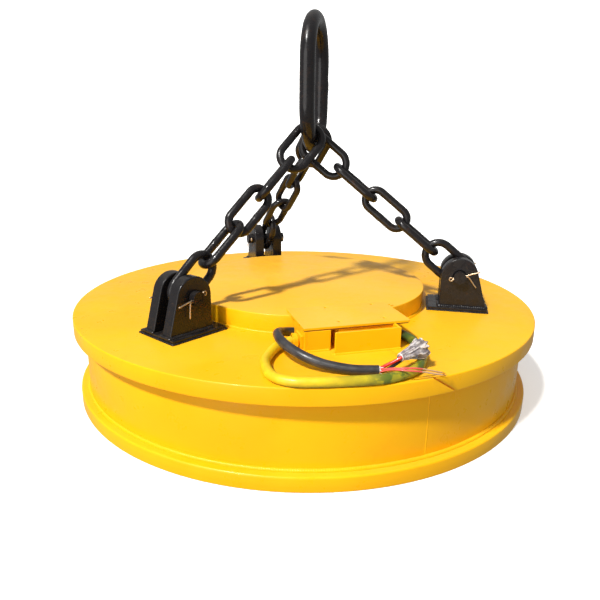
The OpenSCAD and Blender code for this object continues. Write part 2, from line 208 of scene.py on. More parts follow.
def revolve(outline, steps):
    """Turns a line of (radius, height) points about Z. An edge on the axis makes no faces."""
    bm = bmesh.new()
    rings = []
    for k in range(steps):
        a = 2 * math.pi * k / steps
        rings.append([bm.verts.new((*polar(radius, a), height)) for radius, height in outline])
    for k in range(steps):
        here, there = rings[k], rings[(k + 1) % steps]
        for i in range(len(outline) - 1):
            if max(outline[i][0], outline[i + 1][0]) > MERGE:
                bm.faces.new((here[i], here[i + 1], there[i + 1], there[i]))
    return bm


def lathe(name, corners, material):
    """Turns a closed (radius, height, corner radius) outline about Z."""
    outline = rounded(corners)
    return finish_mesh(name, revolve(outline + outline[:1], LATHE_STEPS), BODY, material)


def frames_along(points, closed):
    """The line's direction at each point, and one across it that turns as little as possible."""
    count = len(points)
    heads = []
    for i in range(count):
        a = points[i - 1] if (closed or i > 0) else points[0]
        b = points[(i + 1) % count] if (closed or i < count - 1) else points[-1]
        heads.append((b - a).normalized())
    side = heads[0].cross(UP)
    if side.length < 1e-3:
        side = heads[0].cross(Vector((1, 0, 0)))
    side.normalize()
    sides = []
    for head in heads:
        side = (side - head * side.dot(head)).normalized()
        sides.append(side.copy())
    return heads, sides


def dome(bm, ring, point, head):
    """Closes one end of a tube with a dome of two rings and a tip."""
    reach = (ring[0].co - point).length
    edge = ring
    for degrees in (30, 60):
        inward, onward = polar(1, math.radians(degrees))
        inner = [bm.verts.new(point + (v.co - point) * inward + head * reach * onward) for v in ring]
        join_rings(bm, edge, inner)
        edge = inner
    tip = bm.verts.new(point + head * reach)
    for k, vert in enumerate(edge):
        bm.faces.new((vert, edge[(k + 1) % len(edge)], tip))


def sweep(name, points, radius, material, sides, body=BODY, closed=False, round_ends=False):
    """A tube along points. radius is a number or a function of (index, angle)."""
    size = radius if callable(radius) else (lambda i, a: radius)
    heads, across = frames_along(points, closed)
    bm = bmesh.new()
    rings = []
    for i, point in enumerate(points):
        up = across[i].cross(heads[i])
        ring = []
        for k in range(sides):
            a = 2 * math.pi * k / sides
            r = size(i, a)
            offset = across[i] * math.cos(a) * r + up * math.sin(a) * r
            ring.append(bm.verts.new(point + offset))
        rings.append(ring)
    for here, there in zip(rings, rings[1:]):
        join_rings(bm, here, there)
    if closed:
        join_rings(bm, rings[-1], rings[0])
    elif round_ends:
        dome(bm, rings[0], points[0], -heads[0])
        dome(bm, rings[-1], points[-1], heads[-1])
    else:
        bm.faces.new(rings[0])
        bm.faces.new(rings[-1])
    return finish_mesh(name, bm, body, material, angle=50)


def add_bevel(obj, width):
    bevel = obj.modifiers.new("bevel", "BEVEL")
    bevel.width = width
    bevel.segments = BEVEL_STEPS
    bevel.limit_method = "ANGLE"
    bevel.angle_limit = math.radians(BEVEL_ANGLE)
    bevel.harden_normals = True


def prism(name, outline, low, high, material, place, body=BODY, bevel=0.0008, cutters=()):
    """An outline in x and y, extruded from low to high, with softened edges."""
    bm = bmesh.new()
    bottom = [bm.verts.new((x, y, low)) for x, y in outline]
    face = bm.faces.new(bottom)
    grown = bmesh.ops.extrude_face_region(bm, geom=[face])
    for item in grown["geom"]:
        if isinstance(item, bmesh.types.BMVert):
            item.co.z = high
    bmesh.ops.transform(bm, matrix=place, verts=bm.verts)
    obj = finish_mesh(name, bm, body, material, angle=25)
    for cutter in cutters:
        carve(obj, cutter)
    if bevel:
        add_bevel(obj, bevel)
    return obj


def carve(obj, cutter):
    """Takes the cutter's volume out of the object, and removes the cutter."""
    change = obj.modifiers.new("carve", "BOOLEAN")
    change.operation = "DIFFERENCE"
    change.solver = "EXACT"
    change.object = cutter
    graph = bpy.context.evaluated_depsgraph_get()
    mesh = bpy.data.meshes.new_from_object(obj.evaluated_get(graph))
    obj.modifiers.remove(change)
    old = obj.data
    obj.data = mesh
    bpy.data.meshes.remove(old)
    mesh.name = obj.name
    bpy.data.objects.remove(cutter)


def cutter_cylinder(place, radius, low, high, sides, top_radius=None):
    bm = bmesh.new()
    bmesh.ops.create_cone(bm, cap_ends=True, segments=sides, radius1=radius,
                          radius2=top_radius or radius, depth=high - low)
    bmesh.ops.translate(bm, verts=bm.verts, vec=(0, 0, (low + high) / 2))
    bmesh.ops.transform(bm, matrix=place, verts=bm.verts)
    return mesh_object("cutter", bm)


def block(name, x0, x1, y0, y1, z0, z1, material, place, bevel=0.0008, cutters=()):
    outline = [(x0, y0), (x1, y0), (x1, y1), (x0, y1)]
    return prism(name, outline, z0, z1, material, place, BODY, bevel, cutters)


def weld(name, points, size, material, closed=False, seed=0):
    """A rippled weld bead along points."""
    per_ripple = 4
    count = max(8, int(path_length(points) / (WELD_RIPPLE / per_ripple)))
    if closed:
        dense = resample(points + [points[0]], count)[:-1]
    else:
        dense = resample(points, count)

    def girth(i, a):
        wave = 0.5 + 0.5 * math.cos(2 * math.pi * i / per_ripple)
        drift = noise.noise(Vector((i * 0.03, seed, 0)))
        return size * (0.92 + 0.10 * wave + 0.14 * drift)

    sweep(name, dense, girth, material, sides=WELD_SIDES, closed=closed, round_ends=not closed)


def resample(points, count):
    """The same line as count evenly spaced points."""
    lengths = running_lengths(points)
    out = []
    j = 0
    for i in range(count):
        want = lengths[-1] * i / (count - 1)
        while j < len(points) - 2 and lengths[j + 1] < want:
            j += 1
        part = (want - lengths[j]) / max(1e-9, lengths[j + 1] - lengths[j])
        out.append(points[j].lerp(points[j + 1], min(1.0, part)))
    return out


def smooth_route(route, steps):
    """A Catmull-Rom curve through a route's points, given in millimetres from the top plate."""
    pts = [Vector([part / 1000 for part in point]) + UP * PLATE_TOP for point in route]
    pts = [2 * pts[0] - pts[1]] + pts + [2 * pts[-1] - pts[-2]]
    out = []
    for i in range(1, len(pts) - 2):
        a, b, c, d = pts[i - 1:i + 3]
        for s in range(steps):
            t = s / steps
            out.append(0.5 * (2 * b + (c - a) * t + (2 * a - 5 * b + 4 * c - d) * t * t
                              + (3 * b - a - 3 * c + d) * t ** 3))
    out.append(pts[-2])
    return out


def path_length(points):
    return running_lengths(points)[-1]


# ---------------- materials
class Shader:
    """Builds one node material: a Principled surface with procedural inputs."""

    def __init__(self, name, color, roughness=0.4, metallic=0.0, coat=0.0, specular=0.5):
        self.mat = bpy.data.materials.new(name)
        self.mat.use_nodes = True
        self.tree = self.mat.node_tree
        self.surface = self.tree.nodes["Principled BSDF"].inputs
        self.set({"Base Color": color, "Roughness": roughness, "Metallic": metallic,
                  "Coat Weight": coat, "Specular IOR Level": specular})
        self.place = self.add("ShaderNodeTexCoord", {}, "Object")
        self.bump_from = None

    def feed(self, inputs, values):
        """Links outputs to a node's inputs, or sets the inputs to numbers or colours."""
        for name, value in values.items():
            socket = inputs[name]
            if isinstance(value, bpy.types.NodeSocket):
                self.tree.links.new(value, socket)
            elif socket.type == "RGBA":
                socket.default_value = (*value, 1)
            else:
                socket.default_value = value

    def set(self, values):
        self.feed(self.surface, values)

    def add(self, kind, values, output, **settings):
        """Adds a node, feeds it, and gives one of its outputs."""
        node = self.tree.nodes.new(kind)
        for key, value in settings.items():
            setattr(node, key, value)
        self.feed(node.inputs, values)
        return node.outputs[output]

    def noise(self, scale, detail=4.0, roughness=0.55, distortion=0.0, stretch=None):
        place = self.place
        if stretch:
            place = self.add("ShaderNodeMapping", {"Vector": place, "Scale": stretch}, "Vector")
        values = {"Vector": place, "Scale": scale, "Detail": detail, "Roughness": roughness,
                  "Distortion": distortion}
        return self.add("ShaderNodeTexNoise", values, "Fac")

    def spots(self, scale, size):
        """1 inside scattered round specks, 0 outside."""
        away = self.add("ShaderNodeTexVoronoi", {"Vector": self.place, "Scale": scale}, "Distance")
        return self.band(away, size, size * 0.6)

    def band(self, value, start, end, low=0.0, high=1.0):
        """Maps start..end of a value to low..high, held flat outside."""
        values = {"Value": value, "From Min": start, "From Max": end, "To Min": low, "To Max": high}
        return self.add("ShaderNodeMapRange", values, "Result", interpolation_type="SMOOTHSTEP")

    def math(self, kind, a, b):
        return self.add("ShaderNodeMath", {0: a, 1: b}, "Value", operation=kind)

    def times(self, a, b):
        return self.math("MULTIPLY", a, b)

    def mix(self, factor, a, b):
        return self.add("ShaderNodeMix", {"Factor": factor, "A": a, "B": b}, "Result", data_type="RGBA")

    def facing_up(self):
        normal = self.add("ShaderNodeNewGeometry", {}, "Normal")
        return self.add("ShaderNodeSeparateXYZ", {"Vector": normal}, "Z")

    def attribute(self, name):
        return self.add("ShaderNodeAttribute", {}, "Fac", attribute_name=name)

    def color(self, value):
        self.set({"Base Color": value})

    def roughness(self, value):
        self.set({"Roughness": value})

    def bump(self, value, strength, distance):
        values = {"Height": value, "Strength": strength, "Distance": distance}
        if self.bump_from:
            values["Normal"] = self.bump_from
        self.bump_from = self.add("ShaderNodeBump", values, "Normal")
        self.set({"Normal": self.bump_from})


def yellow_paint(name, dust=0.5, cover=0.0, brush=False):
    """Sprayed yellow enamel: slight colour drift, dust on upward faces, a few specks."""
    s = Shader(name, (0.93, 0.46, 0.004), 0.35, coat=0.06, specular=0.2)
    s.set({"Coat Roughness": 0.12})
    drift = s.band(s.noise(3.2, 5), 0.35, 0.68)
    paint = s.mix(drift, (0.91, 0.435, 0.003), (0.95, 0.49, 0.004))
    thin = s.band(s.noise(11, 6, 0.65), 0.60, 0.74, 0, 0.35)
    paint = s.mix(thin, paint, (0.88, 0.36, 0.003))
    flat = s.band(s.facing_up(), 0.75, 0.98)
    patches = s.band(s.noise(2.3, 6, 0.6, 0.4), 0.38, 0.66, cover)
    grains = s.band(s.noise(160, 3, 0.7), 0.35, 0.7, 0.55, 1)
    dusty = s.times(s.times(flat, patches), s.times(grains, dust))
    paint = s.mix(dusty, paint, (0.93, 0.58, 0.20))
    specks = s.times(s.spots(34, 0.055), s.band(s.noise(9, 2), 0.52, 0.6))
    paint = s.mix(specks, paint, (0.22, 0.12, 0.02))
    s.color(paint)
    gloss = s.band(s.noise(26, 5, 0.65), 0.3, 0.7, 0.26, 0.42)
    s.roughness(s.math("ADD", gloss, s.times(dusty, 0.3)))
    s.bump(s.noise(520, 2, 0.5), 0.10, 0.0004)
    s.bump(s.noise(5.5, 3, 0.4), 0.12, 0.004)
    if brush:
        s.bump(s.noise(60, 3, 0.6, 0, (1, 1, 9)), 0.10, 0.0006)
    return s.mat


def black_enamel(name, rust=0.35, gloss=0.22):
    """Brushed black enamel, brown where it is thin, with some pale dust."""
    s = Shader(name, (0.012, 0.011, 0.012), gloss, coat=0.12, specular=0.28)
    s.set({"Coat Roughness": 0.14})
    thin = s.band(s.noise(38, 6, 0.68), 0.56, 0.72, 0, rust)
    paint = s.mix(thin, (0.010, 0.009, 0.010), (0.060, 0.026, 0.012))
    chips = s.times(s.spots(150, 0.10), s.band(s.noise(22, 3), 0.50, 0.62))
    paint = s.mix(chips, paint, (0.10, 0.06, 0.035))
    flat = s.band(s.facing_up(), 0.55, 1.0, 0, 0.05)
    dusty = s.times(flat, s.band(s.noise(70, 5, 0.7), 0.4, 0.7))
    paint = s.mix(dusty, paint, (0.42, 0.36, 0.27))
    s.color(paint)
    s.roughness(s.band(s.noise(55, 5, 0.6), 0.3, 0.72, gloss * 0.75, gloss * 1.9))
    s.bump(s.noise(210, 4, 0.6), 0.22, 0.0006)
    s.bump(s.noise(36, 3, 0.5), 0.20, 0.0016)
    return s.mat


def bare_steel(name, color, roughness, scale=120, stretch=(1, 1, 14), rust=0.2):
    """Bare metal with fine machining lines and a few stains."""
    s = Shader(name, color, roughness, metallic=1.0)
    lines = s.noise(scale, 5, 0.6, 0, stretch)
    tone = s.band(lines, 0.3, 0.7)
    base = s.mix(tone, tuple(c * 0.78 for c in color), color)
    stain = s.band(s.noise(14, 6, 0.65), 0.55, 0.74, 0, rust)
    s.color(s.mix(stain, base, (0.16, 0.07, 0.03)))
    s.roughness(s.band(lines, 0.3, 0.7, roughness * 0.8, min(1.0, roughness * 1.35)))
    s.bump(lines, 0.12, 0.0005)
    return s.mat


def rubber(name, color, roughness=0.55):
    """Moulded rubber or resin, paler where it is worn."""
    grain = 260
    s = Shader(name, color, roughness)
    worn = s.band(s.noise(18, 6, 0.7), 0.5, 0.75, 0, 0.4)
    s.color(s.mix(worn, color, tuple(min(1.0, c * 1.5 + 0.04) for c in color)))
    s.roughness(s.band(s.noise(grain, 3), 0.3, 0.7, roughness * 0.85, min(1.0, roughness * 1.2)))
    s.bump(s.noise(grain, 4, 0.65), 0.12, 0.0004)
    return s.mat


def gloss_sleeve(name, color):
    """Smooth shiny insulation."""
    s = Shader(name, color, 0.28, coat=0.3)
    soft = s.band(s.noise(60, 4), 0.35, 0.7)
    s.color(s.mix(soft, tuple(c * 0.82 for c in color), color))
    s.bump(s.noise(300, 2), 0.05, 0.0003)
    return s.mat


def signal_sleeve():
    """Salmon insulation, stripped over the last third of the wire."""
    s = Shader("signal_sleeve", (0.80, 0.12, 0.08), 0.3, coat=0.2)
    bare = s.band(s.attribute("along"), 0.076, 0.080)
    s.color(s.mix(bare, (0.82, 0.11, 0.09), (0.66, 0.40, 0.20)))
    s.bump(s.noise(900, 2, 0.5, 0, (1, 1, 5)), 0.08, 0.0003)
    return s.mat


def laminate(name, color):
    """Board or cloth with a crossed weave."""
    s = Shader(name, color, 0.6)
    weave = s.math("ADD", s.noise(240, 2, 0.5, 0, (1, 12, 1)), s.noise(240, 2, 0.5, 0, (12, 1, 1)))
    tone = s.band(weave, 0.8, 1.2)
    s.color(s.mix(tone, tuple(c * 0.8 for c in color), color))
    s.bump(tone, 0.15, 0.0003)
    return s.mat


def cable_sheath():
    """Black sheath, sprayed yellow along its first loop, with green patches."""
    s = Shader("cable_sheath", (0.03, 0.03, 0.028), 0.42)
    along = s.attribute("along")
    top = s.attribute("top")
    sprayed = s.band(along, 0.595, 0.54)
    ragged = s.times(s.noise(26, 5, 0.7), 0.7)
    edge = s.band(s.math("ADD", top, ragged), -0.62, -0.20)
    sprayed = s.times(sprayed, edge)
    green_zone = s.band(along, 0.31, 0.37)
    patch = s.times(green_zone, s.band(s.noise(46, 4, 0.6), 0.47, 0.56))
    sprayed = s.times(sprayed, s.math("SUBTRACT", 1.0, s.times(patch, 0.85)))
    drift = s.band(s.noise(30, 5), 0.35, 0.65)
    golden = s.mix(drift, (0.70, 0.46, 0.008), (0.88, 0.58, 0.010))
    olive = s.mix(drift, (0.30, 0.27, 0.012), (0.50, 0.42, 0.014))
    spray = s.mix(s.band(along, 0.18, 0.38), golden, olive)
    bare = s.mix(s.band(s.noise(22, 5, 0.65), 0.42, 0.66), (0.028, 0.027, 0.028), (0.062, 0.058, 0.060))
    greenish = s.mix(s.times(green_zone, s.band(along, 0.66, 0.56)), bare, (0.055, 0.11, 0.012))
    s.color(s.mix(sprayed, greenish, spray))
    s.roughness(s.band(s.noise(80, 4), 0.3, 0.7, 0.30, 0.46))
    s.bump(s.noise(190, 4, 0.6), 0.14, 0.0005)
    s.bump(s.noise(30, 3, 0.5), 0.15, 0.0015)
    return s.mat


def crumpled_film():
    """Clear film seen edge on: pale painted highlights along the pleats' ridges, smoky grey in between."""
    s = Shader("clear_film", (0.72, 0.70, 0.68), 0.16, coat=0.5)
    s.set({"Transmission Weight": 0.45, "IOR": 1.3})
    folds = s.noise(70, 6, 0.7, 1.0)
    # The pale colour along the ridges is a painted highlight, where the crumpled film would catch the light.
    painted_highlight_crests = s.math("ADD", s.attribute("ridge"), s.times(folds, 0.4))
    smoky = s.mix(s.band(folds, 0.35, 0.65), (0.22, 0.20, 0.22), (0.46, 0.42, 0.43))
    s.color(s.mix(s.band(painted_highlight_crests, 0.17, 0.32), smoky, (0.88, 0.83, 0.82)))
    s.bump(folds, 0.6, 0.003)
    return s.mat


def floor_paint():
    """Matt pale floor; the backdrop round it glows softly."""
    s = Shader("pale_floor", (0.82, 0.82, 0.81), 0.8, specular=0.1)
    s.color(s.mix(s.band(s.noise(1.3, 4), 0.3, 0.7), (0.80, 0.80, 0.79), (0.84, 0.84, 0.83)))
    away = s.add("ShaderNodeVectorMath", {0: s.place}, "Value", operation="LENGTH")
    s.set({"Emission Color": (1, 1, 1), "Emission Strength": s.band(away, 1.5, 6.0, 0.42, 0.60)})
    return s.mat


YELLOW = yellow_paint("yellow_enamel", 0.10)
YELLOW_SHELL = yellow_paint("yellow_enamel_shell", 0.12, brush=True)
YELLOW_DISC = yellow_paint("yellow_enamel_dusty", 0.36, cover=0.50)
BLACK = black_enamel("black_enamel")
CHAIN = black_enamel("chain_lacquer", 0.5, 0.20)
POLE_STEEL = bare_steel("pole_steel", (0.42, 0.41, 0.40), 0.38)
MANGANESE = bare_steel("manganese_steel", (0.30, 0.29, 0.28), 0.5, rust=0.4)
DARK_STEEL = bare_steel("dark_screw_steel", (0.05, 0.045, 0.045), 0.42, 200)
SPOOL_STEEL = bare_steel("spool_steel", (0.24, 0.24, 0.25), 0.45)
COIL_STRIP = bare_steel("coil_strip", (0.72, 0.72, 0.74), 0.3, 900, (1, 1, 0.02), rust=0.0)
COPPER = bare_steel("copper_rod", (0.80, 0.42, 0.24), 0.32, rust=0.1)
BRASS = bare_steel("brass", (0.76, 0.58, 0.28), 0.34, rust=0.15)
SPLIT_PIN = bare_steel("split_pin_wire", (0.66, 0.52, 0.36), 0.40, 300, rust=0.35)
# The gasket's dark orange is partly yellow overspray on the rubber and partly painted shade, for the dark
# line under the lid's edge.
GASKET_OVERSPRAY_SHADE = rubber("oversprayed_gasket_shade", (0.40, 0.19, 0.012))
BOARD = laminate("phenolic_board", (0.22, 0.10, 0.04))
GLASS_CLOTH = laminate("glass_cloth", (0.62, 0.50, 0.28))
BUSHING = rubber("bushing_resin", (0.30, 0.16, 0.08), 0.4)
CABLE = cable_sheath()
RED = gloss_sleeve("red_sleeve", (0.78, 0.035, 0.02))
BLACK_SLEEVE = gloss_sleeve("black_sleeve", (0.02, 0.02, 0.022))
WIRE = signal_sleeve()
FILLER = gloss_sleeve("pale_filler", (0.86, 0.76, 0.74))
FILM = crumpled_film()
FLOOR = floor_paint()


# ---------------- supply cable
CABLE_D = 0.018
CORE_D = 0.006
WIRE_D = 0.003
CABLE_ROUTE = [
    (-22, -374, 16), (-38, -384, 14), (-52, -402, 11), (-61, -428, 9), (-66, -460, 9), (-62, -490, 9),
    (-52, -518, 9), (-37, -535, 9), (-12, -545, 9), (18, -545, 9), (46, -543, 9), (76, -539, 9),
    (108, -534, 9), (138, -526, 9), (165, -512, 9), (188, -494, 9), (203, -473, 9), (213, -446, 9),
    (221, -415, 9), (222, -384, 9), (217, -353, 9), (206, -322, 9), (188, -296, 9), (164, -279, 9),
    (134, -279, 9), (100, -293, 9), (62, -303, 9), (22, -309, 9), (-8, -309, 10), (-26, -316, 13),
    (-39, -331, 18), (-46, -353, 25), (-48, -383, 32), (-41, -416, 33), (-28, -442, 31),
    (-10, -462, 27), (12, -476, 21), (42, -485, 14), (86, -492, 9), (130, -493, 9)]
RED_ROUTE = [(131, -492, 11), (139, -488, 14), (150, -486, 19), (160, -485, 24), (168, -484, 29)]
BLACK_ROUTE = [(131, -495, 7), (141, -492, 9), (151, -487, 12), (162, -481, 17), (173, -477, 23)]
WIRE_ROUTES = [
    [(131, -494, 11), (142, -500, 15), (154, -507, 19), (170, -513, 22), (187, -512, 22),
     (205, -504, 17), (224, -495, 10), (239, -487, 4)],
    [(131, -497, 8), (142, -504, 14), (154, -512, 19), (169, -519, 21), (186, -519, 20),
     (204, -511, 15), (222, -503, 9), (238, -496, 4)]]
CABLE_SIDES = 28
CORE_SIDES = 16
FILLER_R = 0.0062
FILLER_STRANDS = 7
FILLER_STRAND_R = 0.0007
STRAND_R = 0.00028
STRAND_GAP = 0.0007
STRAND_FLOOR = 0.0006
STRANDS = 5
WRAP_FROM = Vector((0.166, -0.480, 0.027)) + UP * PLATE_TOP
WRAP_TO = Vector((0.211, -0.452, 0.036)) + UP * PLATE_TOP
WRAP_NECK = 0.0058
WRAP_FLARE = 0.0105
WRAP_FLOOR = 0.012
TIE_R = 0.0066
TIE_WIRE_R = 0.0011


def mark_along(obj, points, sides):
    """Stores how far along the line each vertex is, and how far round towards the top."""
    along = obj.data.attributes.new("along", "FLOAT", "POINT")
    top = obj.data.attributes.new("top", "FLOAT", "POINT")
    lengths = running_lengths(points)
    for i, vert in enumerate(obj.data.vertices):
        ring = min(i // sides, len(points) - 1)
        along.data[i].value = lengths[ring]
        top.data[i].value = (vert.co.z - points[ring].z) / (CABLE_D / 2)


def make_cable():
    line = smooth_route(CABLE_ROUTE, 6)

    def girth(i, a):
        return CABLE_D / 2 * (1 + 0.012 * noise.noise(line[i] * 40))

    sheath = sweep("supply_cable", line, girth, CABLE, sides=CABLE_SIDES)
    mark_along(sheath, line, CABLE_SIDES)
    return stands_for(sheath, "cable"), line


def make_core(name, node, route, diameter, material):
    line = smooth_route(route, 8)
    core = sweep(name, line, diameter / 2, material, sides=CORE_SIDES, round_ends=True)
    mark_along(core, line, CORE_SIDES)
    return stands_for(core, node), line


def make_filler(line):
    """Pale filler and tape that show where the sheath is cut."""
    end = line[-1]
    head = (end - line[-2]).normalized()
    side = head.cross(UP).normalized()
    ring_sizes = (0.0074, 0.0074, 0.0058)

    def girth(i, a):
        return ring_sizes[i] * (1 + 0.07 * math.sin(5 * a) + 0.05 * math.sin(11 * a))

    stations = [end - head * 0.003, end + head * 0.0005, end + head * 0.0028]
    pieces = [sweep("cable_cut_filler", stations, girth, FILLER, sides=36)]
    for k in range(FILLER_STRANDS):
        a = 2 * math.pi * k / FILLER_STRANDS + 0.3
        out = (side * math.cos(a) + UP * math.sin(a)) * FILLER_R
        reach = 0.005 + 0.004 * random.random()
        tip = end + out * (1.1 + 0.3 * random.random()) + head * reach
        points = [end + out * 0.9 - head * 0.001, end + out + head * reach * 0.5, tip]
        pieces.append(sweep(f"filler_strand_{k}", points, FILLER_STRAND_R, FILLER, sides=6, round_ends=True))
    return pieces


def make_strands(name, line):
    """Bare copper strands that fan out of a signal wire's stripped end."""
    end = line[-1]
    head = (end - line[-4]).normalized()
    side = head.cross(UP).normalized()
    pieces = []
    for k in range(STRANDS):
        spread = side * (k - STRANDS // 2) * STRAND_GAP
        tip = end + head * (0.007 + 0.002 * random.random()) + spread * 2.2
        tip.z = max(tip.z, PLATE_TOP + STRAND_FLOOR)
        points = [end - head * 0.002 + spread * 0.4, end + head * 0.003 + spread, tip]
        pieces.append(sweep(f"{name}_strand_{k}", points, STRAND_R, COPPER, sides=6, round_ends=True))
    return pieces


def make_film():
    """Crumpled clear film: a pleated fan that opens from its tie."""
    axis = (WRAP_TO - WRAP_FROM).normalized()
    side = axis.cross(UP).normalized()
    up = side.cross(axis)
    length = (WRAP_TO - WRAP_FROM).length
    bm = bmesh.new()
    ridge = bm.verts.layers.float.new("ridge")
    rows = 44
    around = 120
    outside = [(i / rows, 0.0) for i in range(rows + 1)]
    inside = [(1 - i / rows, 0.0010) for i in range(1, rows // 2)]
    rings = []
    for t, inset in outside + inside:
        swell = WRAP_NECK + WRAP_FLARE * min(1.0, t * 1.12) ** 1.15 - inset
        ring = []
        for k in range(around):
            a = 2 * math.pi * k / around
            c, s = polar(1, a)
            pleat = (0.07 * math.sin(7 * a + 3 * t) + 0.05 * math.sin(13 * a - 5 * t)) * (0.35 + t)
            spot = Vector((c * 2, s * 2, t * 4))
            crumple = 0.16 * noise.noise(spot * 1.6) + 0.08 * noise.noise(spot * 4.1)
            ragged = 1 + 0.12 * t * noise.noise(Vector((c * 3, s * 3, 7)))
            r = swell * (1 + pleat + crumple)
            point = WRAP_FROM + axis * (length * t * ragged) + side * c * r * 1.08 + up * s * r
            point.z = max(point.z, PLATE_TOP + WRAP_FLOOR)
            vert = bm.verts.new(point)
            # The ridge value marks where the film bulges out; the film's material paints its highlights
            # there.
            vert[ridge] = pleat + crumple
            ring.append(vert)
        rings.append(ring)
    for here, there in zip(rings, rings[1:]):
        join_rings(bm, here, there)
    bm.faces.new(rings[0])
    bm.faces.new(rings[-1])
    film = stands_for(finish_mesh("film_bag", bm, BODY, FILM, angle=40), "film_wrap")
    tie_at = WRAP_FROM + axis * 0.003
    loop = [tie_at + side * x + up * y for x, y in circle(TIE_R, 28)]
    tie = sweep("film_tie", loop, TIE_WIRE_R, FILLER, sides=8, closed=True)
    return [film, tie]


cable, cable_line = make_cable()
red_core, red_line = make_core("red_power_core", "red_core", RED_ROUTE, CORE_D, RED)
black_core, black_line = make_core("black_power_core", "black_core", BLACK_ROUTE, CORE_D, BLACK_SLEEVE)
film_pieces = make_film()
cut_pieces = make_filler(cable_line)
for number, wire_route in enumerate(WIRE_ROUTES, start=1):
    wire, wire_line = make_core(f"signal_wire_{number}", "signal_wires", wire_route, WIRE_D, WIRE)
    make_strands(wire.name, wire_line)


# ---------------- magnet body
SHELL_T = 0.050
FOOT_BORE = 0.455
RIM_CUT_DEPTH = 0.0045
RIM_CUT_W = 0.0028
RIM_CUT_TOP_AZ = -65.9
RIM_CUT_FOOT_AZ = -60.6
SEAM_AZ = -64.6
SEAM_R = 0.0012
WELD_OUT = 0.001


def disc_size(node):
    """Radius, bottom and top of a round node."""
    low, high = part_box(node)
    return (high.x - low.x) / 2, low.z, high.z


def on_rim(radius, azimuth, height):
    return Vector((*polar(radius, math.radians(azimuth)), height))


def round_weld(name, radius, height, size, seed):
    line = [Vector((x, y, height)) for x, y in circle(radius, 120)]
    weld(name, line, size, YELLOW, closed=True, seed=seed)


def cutter_slab(a, b, depth, thickness):
    """A thin slab along a..b that reaches depth into the side of the magnet."""
    middle = (a + b) / 2
    along = (b - a).normalized()
    out = Vector((middle.x, middle.y, 0)).normalized()
    out = (out - along * out.dot(along)).normalized()
    across = along.cross(out)
    bm = bmesh.new()
    bmesh.ops.create_cube(bm, size=1)
    size = Matrix.Diagonal(((b - a).length * 1.25, 2 * depth, thickness, 1))
    axes = Matrix((along, out, across)).transposed().to_4x4()
    bmesh.ops.transform(bm, matrix=shift(*middle) @ axes @ size, verts=bm.verts)
    return mesh_object("cutter", bm)


def make_plate():
    rim, low, high = disc_size("top_plate")
    outline = [(0, low, 0), (rim, low, 0.002), (rim, high, 0.0025), (0, high, 0)]
    plate = lathe("round_top_plate", outline, YELLOW)
    joint_top = on_rim(rim, RIM_CUT_TOP_AZ, high)
    joint_foot = on_rim(rim, RIM_CUT_FOOT_AZ, low)
    carve(plate, cutter_slab(joint_top, joint_foot, RIM_CUT_DEPTH, RIM_CUT_W))
    paint_piece(plate, "top_plate")


def make_side_wall():
    """Makes the wall, and gives its bore."""
    radius, low, high = disc_size("outer_shell")
    bore = radius - SHELL_T
    outline = [(bore, low, 0), (radius, low, 0.001), (radius, high, 0.001), (bore, high, 0)]
    paint_piece(lathe("side_wall", outline, YELLOW_SHELL), "outer_shell")
    round_weld("side_wall_top_weld", radius + WELD_OUT, high - WELD_OUT, 0.0042, seed=1)
    round_weld("side_wall_foot_weld", radius + WELD_OUT, low + WELD_OUT, 0.0048, seed=2)
    seam = [on_rim(radius - SEAM_R / 2, SEAM_AZ, low + (high - low) * t / 8) for t in range(9)]
    weld("side_wall_seam", seam, SEAM_R, YELLOW_SHELL, seed=3)
    return bore


def make_foot(bore):
    radius, low, high = disc_size("foot_ring")
    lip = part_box("protection_plate")[0].z
    outline = [(FOOT_BORE, low, 0.001), (radius, low, 0.002), (radius, high, 0.004),
               (bore, high, 0), (bore, lip, 0), (FOOT_BORE, lip, 0.001)]
    paint_piece(lathe("pole_foot_ring", outline, YELLOW_SHELL), "foot_ring")


def make_disc():
    radius, low, high = disc_size("centre_disc")
    outline = [(0, low, 0), (radius, low, 0.001), (radius, high, 0.002), (0, high, 0)]
    paint_piece(lathe("raised_centre_disc", outline, YELLOW_DISC), "centre_disc")
    round_weld("disc_weld", radius + 0.0012, low + 0.0006, 0.0034, seed=4)


make_plate()
make_foot(make_side_wall())
make_disc()


# ---------------- lugs, pins and split pins
PAD_HALF = (0.067, 0.055)
PAD_T = 0.008
PAD_WELD = 0.0030
CHEEK_IN = 0.014
CHEEK_OUT = 0.041
CHEEK_R = 0.042
CHEEK_FOOT = 0.064
CHEEK_WELD = 0.0042
PIN_R = 0.014
PIN_FIT = 0.0001
PIN_HALF = 0.056
COTTER_AT = 0.0485
COTTER_TILT = {"right": 15, "rear": 0, "left": -18}
COTTER_HOLE_R = 0.0033
COTTER_R = 0.0015
COTTER_SHANK = 0.034
COTTER_TAIL = 0.029
COTTER_LOWER_TAIL = 0.028
COTTER_BEND_R = 0.004
COTTER_EYE_R = 0.004
TAIL_LEAN = 4
TAIL_DROP = 68


def cheek_outline(pin_height):
    """Round top about the pin, upright inner edge and sloping outer edge: x outward, y up."""
    drop = pin_height - PAD_T
    far = math.hypot(CHEEK_FOOT, drop)
    touch = math.acos(CHEEK_R / far) - math.atan2(drop, CHEEK_FOOT)
    crown = [(x, pin_height + y) for x, y in arc(CHEEK_R, touch, math.pi, 40)]
    return [(-CHEEK_R, PAD_T), (CHEEK_FOOT, PAD_T)] + crown


def make_lug(leg):
    joint = JOINTS[f"{leg}_pin_turn"]
    pin = Vector(joint["pos_m"])
    tangent = Vector(joint["axis"]).normalized()
    outward = tangent.cross(UP)
    height = pin.z - PLATE_TOP
    place = shift(pin.x, pin.y, PLATE_TOP) @ Matrix((outward, tangent, UP)).transposed().to_4x4()
    make_pad(leg, place)
    make_cheeks(leg, place, height)
    make_pin(leg, place, height)


